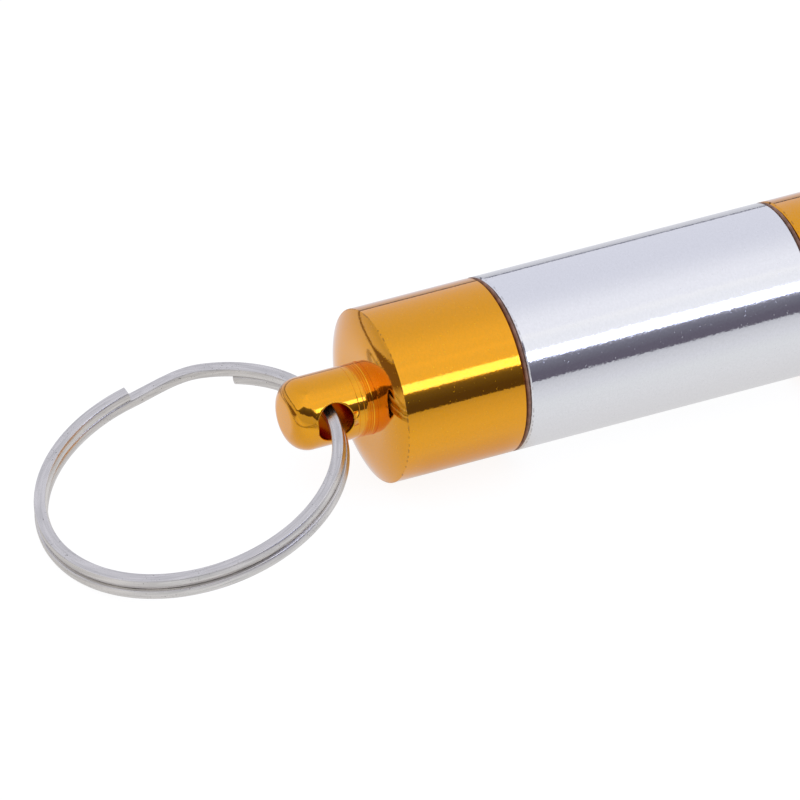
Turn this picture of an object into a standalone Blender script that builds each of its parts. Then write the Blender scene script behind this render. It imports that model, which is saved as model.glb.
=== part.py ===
"""Pocket pill case: three screw-together tubes, a screw cap with an eye, and a split ring.

Metres, +Z up. The case lies on its side along X, with the eye at -X and the flat tail at +X.
The origin is on the surface that it lies on, under the middle of its overall length and width.
"""

import math

import bmesh
import bpy
from mathutils import Vector

COLLECTION_NAME = "pill_case"
CUTTER_COLLECTION_NAME = "cutters"

# Roundness: sides of a turned piece, points to a turn of thread or wire, points to a rounded edge
TURNED_SIDES = 40
THREAD_STEPS_PER_TURN = 20
WIRE_STEPS_PER_TURN = 72
EYE_SIDES = 24
EDGE_ARC_STEPS = 4
SEAL_ARC_STEPS = 2
MERGE_DISTANCE = 0.00001
CUT_OVERRUN = 0.001

# Tubes
TUBE_COUNT = 3
CASE_RADIUS = 0.0075
TUBE_LENGTH = 0.0264
EDGE_CHAMFER = 0.00015
END_ROUND = 0.0009
TAIL_FLOOR = 0.0016
WEB_THICKNESS = 0.0012
MOUTH_CHAMFER = 0.0002

# Screw necks and the sockets that they enter
NECK_LENGTH = 0.0054
NECK_WALL = 0.0008
NECK_CHAMFER = 0.0003
SOCKET_WALL = 0.0009
SOCKET_CLEARANCE = 0.00015
SOCKET_END_CLEARANCE = 0.0004
THREAD_PITCH = 0.00125
THREAD_HEIGHT_SHARE = 0.36
THREAD_FLANK_CLEARANCE = 0.0001
THREAD_FOOT = 0.0015
THREAD_HEAD = 0.0008
THREAD_RUN_IN_TURNS = 0.25
THREAD_END_SHARE = 0.3

# Rubber seals, each in a gland between two pieces
SEAL_GAP = 0.0006
GLAND_DEPTH = 0.0003
GLAND_SLOPE_WIDTH = 0.00035
GLAND_LAND = 0.00015
SEAL_CLEARANCE = 0.00003

# Screw cap with its nub, and the cross hole that is the eye
CAP_LENGTH = 0.01142
SHOULDER_ROUND = 0.0026
SHOULDER_TURN_DEG = 42.0
NUB_LENGTH = 0.00748
NUB_RADIUS = 0.00315
NUB_TIP_ROUND = 0.0018
NUB_COLLAR_PROUD = 0.0001
NUB_COLLAR_LENGTH = 0.00058
EYE_FROM_TIP = 0.0034
EYE_CLEARANCE = 0.00008
EYE_ROLL_DEG = 6.0

# Split ring: one flat wire wound almost twice, the first turn below the second
RING_OUTER_RADIUS = 0.0137
RING_WIRE_WIDTH = 0.0014
RING_WIRE_THICKNESS = 0.00057
RING_TURN_GAP = 0.00042
RING_LOWER_END_DEG = 48.0
RING_CRANK_FOOT_DEG = -272.0
RING_CRANK_HEAD_DEG = -300.0
RING_UPPER_END_DEG = -632.0

GOLD = ((0.67, 0.36, 0.06, 1.0), 0.28, 1.0)
SILVER = ((0.62, 0.63, 0.65, 1.0), 0.22, 1.0)
RUBBER = ((0.07, 0.04, 0.03, 1.0), 0.6, 0.0)
STEEL = ((0.42, 0.42, 0.43, 1.0), 0.35, 1.0)

# Radii that follow from the sizes above, from the outside in
GLAND_LIP_RADIUS = CASE_RADIUS - EDGE_CHAMFER - GLAND_LAND
GLAND_FLOOR_RADIUS = GLAND_LIP_RADIUS - GLAND_SLOPE_WIDTH
THREAD_HEIGHT = THREAD_HEIGHT_SHARE * THREAD_PITCH
GROOVE_HEIGHT = THREAD_HEIGHT + THREAD_FLANK_CLEARANCE * math.sqrt(2)
NECK_RADIUS = CASE_RADIUS - SOCKET_WALL - GROOVE_HEIGHT
COMPARTMENT_RADIUS = NECK_RADIUS - NECK_WALL
SOCKET_RADIUS = NECK_RADIUS + SOCKET_CLEARANCE
SHOULDER_RADIUS = CASE_RADIUS - SHOULDER_ROUND * math.sin(math.radians(SHOULDER_TURN_DEG))

# Places along the case from its tail
SOCKET_DEPTH = NECK_LENGTH - SEAL_GAP + SOCKET_END_CLEARANCE
SECTION_STEP = TUBE_LENGTH + SEAL_GAP
CAP_BASE = TUBE_COUNT * SECTION_STEP
EYE_HEIGHT = CAP_LENGTH + NUB_LENGTH - EYE_FROM_TIP
EYE_PLACE = CAP_BASE + EYE_HEIGHT

# Places of the split ring: it passes the eye with clearance and its far side lies on the surface
RING_MEAN_RADIUS = RING_OUTER_RADIUS - RING_WIRE_WIDTH / 2
RING_SAG_IN_EYE = RING_MEAN_RADIUS - math.sqrt(RING_MEAN_RADIUS**2 - NUB_RADIUS**2)
RING_PIVOT = RING_MEAN_RADIUS - RING_SAG_IN_EYE / 2
RING_RISE = RING_WIRE_THICKNESS + RING_TURN_GAP
RING_HALF_DEPTH = (RING_RISE + RING_WIRE_THICKNESS) / 2
EYE_SKEW = NUB_RADIUS * math.tan(math.radians(EYE_ROLL_DEG))
EYE_RADIUS = math.hypot(RING_WIRE_WIDTH / 2, RING_HALF_DEPTH) + RING_SAG_IN_EYE / 2 + EYE_SKEW
EYE_RADIUS += EYE_CLEARANCE
RING_REACH = RING_PIVOT + RING_OUTER_RADIUS
RING_FOOT_REACH = RING_REACH - RING_WIRE_THICKNESS / 2
RING_LEAN = math.asin(CASE_RADIUS / math.hypot(RING_FOOT_REACH, RING_HALF_DEPTH))
RING_LEAN -= math.atan2(RING_HALF_DEPTH, RING_FOOT_REACH)
RING_SPAN = RING_REACH * math.cos(RING_LEAN) + RING_RISE / 2 * math.sin(RING_LEAN)
TAIL_X = (EYE_PLACE + RING_SPAN) / 2


def clear_scene():
    """Remove what the opened file holds."""
    for old in list(bpy.data.objects):
        bpy.data.objects.remove(old, do_unlink=True)


def new_collection(name):
    """A fresh collection linked to the scene."""
    collection = bpy.data.collections.new(name)
    bpy.context.scene.collection.children.link(collection)
    return collection


def principled(name, finish):
    """A Principled material from a colour, a roughness and a metallic value."""
    colour, roughness, metallic = finish
    material = bpy.data.materials.new(name)
    material.use_nodes = True
    shader = material.node_tree.nodes["Principled BSDF"]
    shader.inputs["Base Color"].default_value = colour
    shader.inputs["Roughness"].default_value = roughness
    shader.inputs["Metallic"].default_value = metallic
    material.diffuse_color = colour
    return material


def arc(centre_radius, centre_height, radius, start_deg, end_deg):
    """Points of a rounded edge, as (distance from the axis, height)."""
    points = []
    for step in range(EDGE_ARC_STEPS + 1):
        angle = math.radians(start_deg + (end_deg - start_deg) * step / EDGE_ARC_STEPS)
        points.append((centre_radius + radius * math.cos(angle), centre_height + radius * math.sin(angle)))
    return points


def turned(name, profile, collection, closed=False):
    """Turn a profile about local Z with a Screw modifier, a flat facing down when laid on its side."""
    start = math.pi / TURNED_SIDES
    mesh = bpy.data.meshes.new(name)
    points = [(r * math.cos(start), r * math.sin(start), z) for r, z in profile]
    edges = [(i, i + 1) for i in range(len(points) - 1)]
    if closed:
        edges.append((len(points) - 1, 0))
    mesh.from_pydata(points, edges, [])
    piece = bpy.data.objects.new(name, mesh)
    collection.objects.link(piece)
    screw = piece.modifiers.new("Turn", "SCREW")
    screw.axis = "Z"
    screw.angle = 2 * math.pi
    screw.steps = TURNED_SIDES
    screw.render_steps = TURNED_SIDES
    screw.use_merge_vertices = True
    screw.merge_threshold = MERGE_DISTANCE
    screw.use_smooth_shade = True
    return piece


def mesh_from_curve(curve_object, collection):
    """Turn a curve with loose caps into a closed mesh object, and remove the curve."""
    bpy.context.view_layer.update()
    evaluated = curve_object.evaluated_get(bpy.context.evaluated_depsgraph_get())
    mesh = bpy.data.meshes.new_from_object(evaluated)
    build = bmesh.new()
    build.from_mesh(mesh)
    bmesh.ops.remove_doubles(build, verts=build.verts, dist=MERGE_DISTANCE)
    bmesh.ops.recalc_face_normals(build, faces=build.faces)
    build.to_mesh(mesh)
    build.free()
    piece = bpy.data.objects.new(curve_object.name + "_solid", mesh)
    piece.matrix_world = curve_object.matrix_world
    collection.objects.link(piece)
    bpy.data.objects.remove(curve_object, do_unlink=True)
    return piece


def poly_curve(name, points, collection, radii=None, tilt=0.0):
    """A POLY curve through the points, with filled caps."""
    curve = bpy.data.curves.new(name, "CURVE")
    curve.dimensions = "3D"
    curve.twist_mode = "Z_UP"
    curve.fill_mode = "FULL"
    curve.use_fill_caps = True
    spline = curve.splines.new("POLY")
    spline.points.add(len(points) - 1)
    for i, point in enumerate(points):
        spline.points[i].co = (*point, 1.0)
        spline.points[i].tilt = tilt
        spline.points[i].radius = radii[i] if radii else 1.0
    curve_object = bpy.data.objects.new(name, curve)
    collection.objects.link(curve_object)
    return curve_object


def thread_radius_share(turn, first_turn, last_turn):
    """How full the thread is at a turn: it tapers over its first and last stretch."""
    from_end = min(turn - first_turn, last_turn - turn)
    share = min(1.0, from_end / THREAD_RUN_IN_TURNS)
    return THREAD_END_SHARE + (1.0 - THREAD_END_SHARE) * share


def thread(name, low, high, half_size, shoulder, tapered, collection):
    """A helical ridge of diamond section whose turns are counted from the shoulder below it."""
    first_turn = (low - shoulder) / THREAD_PITCH
    last_turn = (high - shoulder) / THREAD_PITCH
    steps = math.ceil((last_turn - first_turn) * THREAD_STEPS_PER_TURN)
    points = []
    radii = []
    for step in range(steps + 1):
        turn = first_turn + (last_turn - first_turn) * step / steps
        angle = 2 * math.pi * turn
        height = shoulder + THREAD_PITCH * turn
        points.append((NECK_RADIUS * math.cos(angle), NECK_RADIUS * math.sin(angle), height))
        radii.append(thread_radius_share(turn, first_turn, last_turn) if tapered else 1.0)
    ridge = poly_curve(name, points, collection, radii)
    ridge.data.bevel_depth = half_size
    ridge.data.bevel_resolution = 0
    return mesh_from_curve(ridge, collection)


def hide_as_tool(tool):
    """Show an operand of a Boolean as a wire guide only."""
    tool.hide_render = True
    tool.display_type = "WIRE"


def combine(piece, tool, operation):
    """Join a tool to a piece, or cut it from the piece, exactly."""
    hide_as_tool(tool)
    tool.parent = piece
    boolean = piece.modifiers.new(tool.name, "BOOLEAN")
    boolean.operation = operation
    boolean.solver = "EXACT"
    boolean.object = tool


def gland_below(shoulder):
    """Outer side of a neck's foot: down into the gland, up its slope, and out over the shoulder."""
    return [
        (NECK_RADIUS, shoulder - GLAND_DEPTH),
        (GLAND_FLOOR_RADIUS, shoulder - GLAND_DEPTH),
        (GLAND_LIP_RADIUS, shoulder),
        (CASE_RADIUS - EDGE_CHAMFER, shoulder),
        (CASE_RADIUS, shoulder - EDGE_CHAMFER),
    ]


def socket_profile():
    """From the outer side round the rim, up the seal's slope and the bore, to the bore's end."""
    return [
        (CASE_RADIUS, EDGE_CHAMFER),
        (CASE_RADIUS - EDGE_CHAMFER, 0),
        (GLAND_LIP_RADIUS, 0),
        (GLAND_FLOOR_RADIUS, GLAND_DEPTH),
        (SOCKET_RADIUS, GLAND_DEPTH),
        (SOCKET_RADIUS, SOCKET_DEPTH),
        (0, SOCKET_DEPTH),
    ]


def tail_profile():
    """From the outer side round the tail's edge to the middle of its flat end."""
    return arc(CASE_RADIUS - END_ROUND, END_ROUND, END_ROUND, 0, -90) + [(0, 0)]


def tube_profile(floor, foot):
    """A tube: up inside the compartment, over the neck, down outside, then its own foot."""
    top = TUBE_LENGTH + NECK_LENGTH
    profile = [
        (0, floor),
        (COMPARTMENT_RADIUS, floor),
        (COMPARTMENT_RADIUS, top - MOUTH_CHAMFER),
        (COMPARTMENT_RADIUS + MOUTH_CHAMFER, top),
        (NECK_RADIUS - NECK_CHAMFER, top),
        (NECK_RADIUS, top - NECK_CHAMFER),
    ]
    return profile + gland_below(TUBE_LENGTH) + foot


def cap_profile():
    """The cap: down the nub and its collar, over the end face and its round shoulder, to the socket."""
    nub_top = CAP_LENGTH + NUB_LENGTH
    collar_top = CAP_LENGTH + NUB_COLLAR_LENGTH
    profile = [(0, nub_top)]
    profile += arc(NUB_RADIUS - NUB_TIP_ROUND, nub_top - NUB_TIP_ROUND, NUB_TIP_ROUND, 90, 0)
    profile += [
        (NUB_RADIUS, collar_top),
        (NUB_RADIUS + NUB_COLLAR_PROUD, collar_top),
        (NUB_RADIUS + NUB_COLLAR_PROUD, CAP_LENGTH),
    ]
    profile += arc(SHOULDER_RADIUS, CAP_LENGTH - SHOULDER_ROUND, SHOULDER_ROUND,
                   90, 90 - SHOULDER_TURN_DEG)
    return profile + socket_profile()


def seal_profile():
    """Section of a squeezed seal, from its outer edge down and round, about the middle of its gap."""
    half_gap = SEAL_GAP / 2 - SEAL_CLEARANCE
    half_height = half_gap + GLAND_DEPTH
    slope_radius = GLAND_LIP_RADIUS - SEAL_CLEARANCE
    floor_radius = GLAND_FLOOR_RADIUS - SEAL_CLEARANCE
    inner_radius = NECK_RADIUS + SEAL_CLEARANCE
    lower = []
    for step in range(SEAL_ARC_STEPS + 1):
        angle = math.pi / 2 * step / SEAL_ARC_STEPS
        radius = slope_radius + (CASE_RADIUS - slope_radius) * math.cos(angle)
        lower.append((radius, -half_gap * math.sin(angle)))
    lower += [(floor_radius, -half_height), (inner_radius + EDGE_CHAMFER, -half_height)]
    lower += [(inner_radius, EDGE_CHAMFER - half_height)]
    upper = [(radius, -height) for radius, height in reversed(lower[1:])]
    return lower + upper


def add_male_thread(piece, cutters):
    """Join the neck's ridge to a tube."""
    low = TUBE_LENGTH + THREAD_FOOT
    high = TUBE_LENGTH + NECK_LENGTH - THREAD_HEAD
    ridge = thread(piece.name + "_ridge", low, high, THREAD_HEIGHT, TUBE_LENGTH, True, cutters)
    combine(piece, ridge, "UNION")


def cut_female_thread(piece, cutters):
    """Cut a socket's groove, which matches the ridge of the neck that sits in it."""
    high = NECK_LENGTH - SEAL_GAP - THREAD_HEAD + SOCKET_END_CLEARANCE
    groove = thread(piece.name + "_groove", -CUT_OVERRUN, high, GROOVE_HEIGHT, -SEAL_GAP, False, cutters)
    combine(piece, groove, "DIFFERENCE")


def cut_eye(cap, cutters):
    """Cut the cross hole that the split ring passes through."""
    bpy.ops.mesh.primitive_cylinder_add(vertices=EYE_SIDES, radius=EYE_RADIUS,
                                        depth=2 * NUB_RADIUS + 2 * CUT_OVERRUN)
    drill = bpy.context.object
    drill.name = "eye_drill"
    for collection in list(drill.users_collection):
        collection.objects.unlink(drill)
    cutters.objects.link(drill)
    drill.location = (0, 0, EYE_HEIGHT)
    drill.rotation_euler = (math.pi / 2, 0, math.radians(EYE_ROLL_DEG))
    combine(cap, drill, "DIFFERENCE")


def place_on_case(piece, case, height, material):
    """Stand a piece at its height on the case's axis and give it its material."""
    piece.parent = case
    piece.location = (0, 0, height)
    piece.data.materials.append(material)


def make_tube(number, case, parts, cutters):
    """A tube, numbered from the cap: the last one has the flat tail, the others a socket."""
    is_tail = number == TUBE_COUNT
    if is_tail:
        profile = tube_profile(TAIL_FLOOR, tail_profile())
    else:
        profile = tube_profile(SOCKET_DEPTH + WEB_THICKNESS, socket_profile())
    tube = turned(f"section_{number}", profile, parts)
    finish = GOLD if number % 2 == 0 else SILVER
    place_on_case(tube, case, (TUBE_COUNT - number) * SECTION_STEP, principled(tube.name, finish))
    if not is_tail:
        cut_female_thread(tube, cutters)
    add_male_thread(tube, cutters)


def make_seal(number, case, parts):
    """The rubber seal round the neck of the tube with the same number."""
    seal = turned(f"seal_{number}", seal_profile(), parts, closed=True)
    height = (TUBE_COUNT - number) * SECTION_STEP + TUBE_LENGTH + SEAL_GAP / 2
    place_on_case(seal, case, height, principled(seal.name, RUBBER))


def make_cap(case, parts, cutters):
    """The screw cap with its nub."""
    cap = turned("cap", cap_profile(), parts)
    place_on_case(cap, case, CAP_BASE, principled("cap", GOLD))
    cut_female_thread(cap, cutters)
    cut_eye(cap, cutters)


def wire_level(angle_deg):
    """Height of the wire in the split ring: low turn, smooth crank, high turn."""
    share = (RING_CRANK_FOOT_DEG - angle_deg) / (RING_CRANK_FOOT_DEG - RING_CRANK_HEAD_DEG)
    share = max(0.0, min(1.0, share))
    smooth = share * share * (3 - 2 * share)
    return RING_RISE * (smooth - 1 / 2)


def ring_wire_points():
    """Middle line of the split ring's wire, with the ring's pivot in the eye at the origin."""
    sweep = RING_LOWER_END_DEG - RING_UPPER_END_DEG
    steps = round(sweep / 360 * WIRE_STEPS_PER_TURN)
    points = []
    for step in range(steps + 1):
        degrees = RING_LOWER_END_DEG - sweep * step / steps
        angle = math.radians(degrees)
        x = RING_MEAN_RADIUS * math.cos(angle) - RING_PIVOT
        y = RING_MEAN_RADIUS * math.sin(angle)
        points.append(Vector((x, y, wire_level(degrees))))
    return points


def print_least_gap(points):
    """Print the least gap between the two turns of the wire, measured on its middle line."""
    half_turn = WIRE_STEPS_PER_TURN // 2
    least = min(
        (points[i] - points[j]).length
        for i in range(len(points))
        for j in range(i + half_turn, len(points))
    )
    print(f"least gap of the split ring to itself: {(least - RING_WIRE_THICKNESS) * 1000:.2f} mm")


def make_split_ring(case, parts):
    """The split ring, swung down from the eye until its far side lies on the surface."""
    points = ring_wire_points()
    print_least_gap(points)
    wire = poly_curve("split_ring", points, parts, tilt=math.pi / 2)
    wire.data.bevel_depth = RING_WIRE_THICKNESS / 2
    wire.data.extrude = (RING_WIRE_WIDTH - RING_WIRE_THICKNESS) / 2
    wire.data.bevel_resolution = 1
    ring = mesh_from_curve(wire, parts)
    ring.name = "split_ring"
    ring.data.shade_smooth()
    ring.location = (TAIL_X - EYE_PLACE, 0, CASE_RADIUS)
    ring.rotation_euler = (0, -RING_LEAN, 0)
    ring.data.materials.append(principled("split_ring", STEEL))


def shade_round(parts):
    """Shade the round faces smooth, each edge's shade following its larger face."""
    for piece in parts.objects:
        if piece.type == "MESH":
            piece.modifiers.new("Shade", "WEIGHTED_NORMAL")


def make_case():
    """Build every piece and lay the case on its side."""
    clear_scene()
    parts = new_collection(COLLECTION_NAME)
    cutters = new_collection(CUTTER_COLLECTION_NAME)
    case = bpy.data.objects.new("case_axis", None)
    parts.objects.link(case)
    case.location = (TAIL_X, 0, CASE_RADIUS)
    case.rotation_euler = (0, -math.pi / 2, 0)
    make_cap(case, parts, cutters)
    for number in range(1, TUBE_COUNT + 1):
        make_seal(number, case, parts)
        make_tube(number, case, parts, cutters)
    make_split_ring(case, parts)
    shade_round(parts)


make_case()
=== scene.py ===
"""A pocket pill case of screw-together tubes on a split ring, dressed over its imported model.

Metres, +Z up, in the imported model's frame: the case lies along X with its eye at -X. A turned
piece is made standing on its base, its axis along local Z, and is then laid on its side.
"""

import math

import bmesh
import bpy
from mathutils import Matrix, Vector


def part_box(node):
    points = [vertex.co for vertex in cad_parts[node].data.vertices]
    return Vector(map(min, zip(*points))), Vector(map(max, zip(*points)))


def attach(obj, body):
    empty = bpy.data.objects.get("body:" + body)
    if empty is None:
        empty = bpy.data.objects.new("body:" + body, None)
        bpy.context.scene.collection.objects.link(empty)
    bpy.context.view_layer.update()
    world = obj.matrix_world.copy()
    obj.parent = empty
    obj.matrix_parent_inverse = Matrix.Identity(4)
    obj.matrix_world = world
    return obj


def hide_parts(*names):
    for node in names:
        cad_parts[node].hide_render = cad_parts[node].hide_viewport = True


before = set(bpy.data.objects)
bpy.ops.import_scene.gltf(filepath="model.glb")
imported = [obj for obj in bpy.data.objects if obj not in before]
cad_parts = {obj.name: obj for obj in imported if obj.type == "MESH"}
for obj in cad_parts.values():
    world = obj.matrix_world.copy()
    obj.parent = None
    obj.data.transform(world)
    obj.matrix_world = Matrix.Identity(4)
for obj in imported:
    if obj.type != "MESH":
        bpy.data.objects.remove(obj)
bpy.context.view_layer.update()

# Sizes of the tubes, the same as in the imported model
CASE_RADIUS = 0.0075
TUBE_LENGTH = 0.0264
EDGE_CHAMFER = 0.00015
END_ROUND = 0.0009
TAIL_FLOOR = 0.0016
WEB_THICKNESS = 0.0012
MOUTH_CHAMFER = 0.0002

# Screw necks and sockets
NECK_LENGTH = 0.0054
NECK_WALL = 0.0008
NECK_CHAMFER = 0.0003
SOCKET_WALL = 0.0009
SOCKET_CLEARANCE = 0.00015
SOCKET_END_CLEARANCE = 0.0004
THREAD_PITCH = 0.00125
THREAD_HEIGHT = 0.00045
THREAD_CREST = 0.00006
THREAD_FLANK_CLEARANCE = 0.0001
THREAD_FOOT = 0.0015
THREAD_HEAD = 0.0008
THREAD_RUN_IN_TURNS = 0.25
THREAD_ROW_STEP = 0.00005

# Rubber seals and their glands
SEAL_GAP = 0.0006
GLAND_DEPTH = 0.0003
GLAND_SLOPE_WIDTH = 0.00035
GLAND_LAND = 0.00015
SEAL_CLEARANCE = 0.00003
RIM_REACH = 0.00007
TUBE_TOP_REACH = 0.00014
SEAL_SECTION_STEPS = 24

# Screw cap, its nub and the cross hole that is the eye
CAP_LENGTH = 0.01178
SHOULDER_ROUND = 0.00767
SHOULDER_TURN_DEG = 28.0
NUB_LENGTH = 0.00712
NUB_RADIUS = 0.00312
NUB_RELIEF_DEPTH = 0.00001
NUB_RELIEF_LENGTH = 0.00017
NUB_RIDGE_PROUD = 0.00002
NUB_RIDGE_WIDTH = 0.0001
NUB_TIP_ROUND = 0.0018
EYE_FROM_TIP = 0.0034
EYE_RADIUS = 0.00165
EYE_MOUTH_ROUND = 0.00012
EYE_ROLL_DEG = 6.0
TOOL_GROOVE_PLACES = (0.00044, 0.00066, 0.00106, 0.00153)
TOOL_GROOVE_DEPTH = 0.000008
TOOL_GROOVE_HALF_WIDTH = 0.00003

# Split ring
RING_OUTER_RADIUS = 0.01334
RING_WIRE_WIDTH = 0.00112
RING_WIRE_THICKNESS = 0.00084
RING_TURN_RISE = 0.00085
RING_EDGE_ROUND = 0.00008
RING_EDGE_STEPS = 5
RING_SIDE_BULGE = 0.0001
RING_SIDE_STEPS = 8
RING_LOWER_SHIFT = Vector((-0.00009, -0.00016, 0.0))
RING_LOWER_SPREAD = 0.00015
RING_LOWER_END_DEG = 47.1
RING_CRANK_FOOT_DEG = -272.0
RING_CRANK_HEAD_DEG = -300.0
RING_UPPER_END_DEG = -631.2
RING_LEAN_DEG = 15.7
RING_TWIST_DEG = 1.5
RING_CENTRE_FROM_EYE = Vector((-0.01232, -0.000785, -0.00297))

# Fineness of the meshes
SIDES = 192
ARC_STEPS = 12
EYE_HALF_COLUMNS = 20
EYE_ROWS = 34
EYE_LAYERS = 6
EYE_MOUTH_STEPS = 4
EYE_TUNNEL_STEPS = 12
RING_STEPS_PER_TURN = 240
MERGE_DISTANCE = 0.000001

# Radii and places that follow
GLAND_LIP_RADIUS = CASE_RADIUS - EDGE_CHAMFER - GLAND_LAND
GLAND_FLOOR_RADIUS = GLAND_LIP_RADIUS - GLAND_SLOPE_WIDTH
GROOVE_HEIGHT = THREAD_HEIGHT + THREAD_FLANK_CLEARANCE * math.sqrt(2)
NECK_RADIUS = CASE_RADIUS - SOCKET_WALL - GROOVE_HEIGHT
COMPARTMENT_RADIUS = NECK_RADIUS - NECK_WALL
SOCKET_RADIUS = NECK_RADIUS + SOCKET_CLEARANCE
SOCKET_DEPTH = NECK_LENGTH - SEAL_GAP + SOCKET_END_CLEARANCE
SHOULDER_RADIUS = CASE_RADIUS - SHOULDER_ROUND * math.sin(math.radians(SHOULDER_TURN_DEG))
SHOULDER_DROP = SHOULDER_ROUND * (1 - math.cos(math.radians(SHOULDER_TURN_DEG)))
EYE_HEIGHT = CAP_LENGTH + NUB_LENGTH - EYE_FROM_TIP
EYE_PLACE = Vector((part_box("cap")[1].x - EYE_HEIGHT, 0.0, CASE_RADIUS))

# Camera of the photograph, which is 800 pixels square: it looks down on the case from its left
CAMERA_ELEVATION_DEG = 33.44
CAMERA_AZIMUTH_DEG = -25.38
CAMERA_DISTANCE = 1.5
PIXELS_PER_METRE = 11722.0
FRAME_PIXELS = 800
TAIL_PIXEL = (1344.6, 141.5)
SENSOR_WIDTH_MM = 36.0

# Studio
FLOOR_HALF_SIZE = 4.0
MILLIMETRE = 0.001


def ring_of(radius, height, sharp=False):
    """One ring of a turned surface: its radius is a number or a function of the angle."""
    return (radius, height, sharp)


def arc(centre_radius, centre_height, radius, start_deg, end_deg, steps=ARC_STEPS):
    """Rings of a rounded edge."""
    rings = []
    for step in range(steps + 1):
        angle = math.radians(start_deg + (end_deg - start_deg) * step / steps)
        rings.append(ring_of(centre_radius + radius * math.cos(angle),
                             centre_height + radius * math.sin(angle)))
    return rings


def column_angle(column):
    """Angle of a column of points; column 0 is in the middle of the eye's front mouth."""
    return math.radians(EYE_ROLL_DEG - 90) + 2 * math.pi * column / SIDES


def add_ring(build, ring):
    """The points of one ring, or the one point of a pole."""
    radius, height, _ = ring
    if radius == 0:
        return [build.verts.new((0, 0, height))]
    points = []
    for column in range(SIDES):
        angle = column_angle(column)
        r = radius(angle) if callable(radius) else radius
        points.append(build.verts.new((r * math.cos(angle), r * math.sin(angle), height)))
    return points


def join_rings(build, first, second):
    """Faces between two neighbouring rings, facing out where the profile runs downwards."""
    for column in range(SIDES):
        after = (column + 1) % SIDES
        if len(first) == 1:
            corners = (first[0], second[column], second[after])
        elif len(second) == 1:
            corners = (first[column], second[0], first[after])
        else:
            corners = (first[column], second[column], second[after], first[after])
        build.faces.new(corners)


def mark_sharp(points):
    """Make the edges along a ring sharp."""
    ring = set(points)
    for point in points:
        for edge in point.link_edges:
            if edge.other_vert(point) in ring:
                edge.smooth = False


def turn(build, rings, closed=False):
    """A turned surface from its rings; gives the points of the first and the last ring."""
    made = [add_ring(build, ring) for ring in rings]
    for first, second in zip(made, made[1:]):
        join_rings(build, first, second)
    if closed:
        join_rings(build, made[-1], made[0])
    for ring, points in zip(rings, made):
        if ring[2] and len(points) > 1:
            mark_sharp(points)
    return made[0], made[-1]


def finish_piece(build, name, materials, body, location, rotation):
    """Make the object, place it, and let it stand for the node of the same body."""
    bmesh.ops.remove_doubles(build, verts=build.verts, dist=MERGE_DISTANCE)
    for face in build.faces:
        face.smooth = True
    mesh = bpy.data.meshes.new(name)
    build.to_mesh(mesh)
    build.free()
    for material in materials:
        mesh.materials.append(material)
    piece = bpy.data.objects.new(name, mesh)
    bpy.context.scene.collection.objects.link(piece)
    piece.location = location
    piece.rotation_euler = rotation
    piece.modifiers.new("Shade", "WEIGHTED_NORMAL").keep_sharp = True
    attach(piece, body)
    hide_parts(body)
    return piece


def lay_on_side(build, name, materials, body, base_x):
    """Finish a turned piece with its base at a place along X and its axis towards -X."""
    return finish_piece(build, name, materials, body,
                        (base_x, 0, CASE_RADIUS), (0, -math.pi / 2, 0))


def ridge_share(turn_count, first_turn, last_turn):
    """How full a thread is at a turn: it tapers over its first and last stretch."""
    from_end = min(turn_count - first_turn, last_turn - turn_count)
    return max(0.0, min(1.0, from_end / THREAD_RUN_IN_TURNS))


def threaded_radius(base_radius, crest_radius, height, shoulder, first, last):
    """Radius of a threaded wall at a height, as a function of the angle."""
    def radius(angle):
        turns = (height - shoulder) / THREAD_PITCH
        here = angle / (2 * math.pi)
        nearest = round(turns - here) + here
        tall = (crest_radius - base_radius) * ridge_share(nearest, first, last)
        away = abs(turns - nearest) * THREAD_PITCH
        return base_radius + max(0.0, min(tall - away, tall - THREAD_CREST))
    return radius


def threaded_rings(base_radius, crest_radius, low, high, shoulder, first_height, last_height):
    """Rings of a threaded wall between two heights, from the low one up."""
    first = (first_height - shoulder) / THREAD_PITCH
    last = (last_height - shoulder) / THREAD_PITCH
    steps = math.ceil((high - low) / THREAD_ROW_STEP)
    rings = []
    for step in range(steps + 1):
        height = low + (high - low) * step / steps
        radius = threaded_radius(base_radius, crest_radius, height, shoulder, first, last)
        rings.append(ring_of(radius, height))
    return rings


def socket_rings():
    """From the outer side round the rim, over the seal's slope and up the threaded bore."""
    groove_end = NECK_LENGTH - SEAL_GAP - THREAD_HEAD + SOCKET_END_CLEARANCE
    crest = NECK_RADIUS + GROOVE_HEIGHT
    bore = threaded_rings(SOCKET_RADIUS, crest, GLAND_DEPTH, SOCKET_DEPTH, -SEAL_GAP,
                          -SEAL_GAP - THREAD_PITCH, groove_end)
    return [
        ring_of(CASE_RADIUS, EDGE_CHAMFER - RIM_REACH, True),
        ring_of(CASE_RADIUS - EDGE_CHAMFER, -RIM_REACH, True),
        ring_of(GLAND_LIP_RADIUS, -RIM_REACH, True),
        ring_of(GLAND_FLOOR_RADIUS, GLAND_DEPTH, True),
        ring_of(SOCKET_RADIUS, GLAND_DEPTH, True),
        *bore,
        ring_of(SOCKET_RADIUS, SOCKET_DEPTH, True),
        ring_of(0, SOCKET_DEPTH),
    ]


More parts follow.
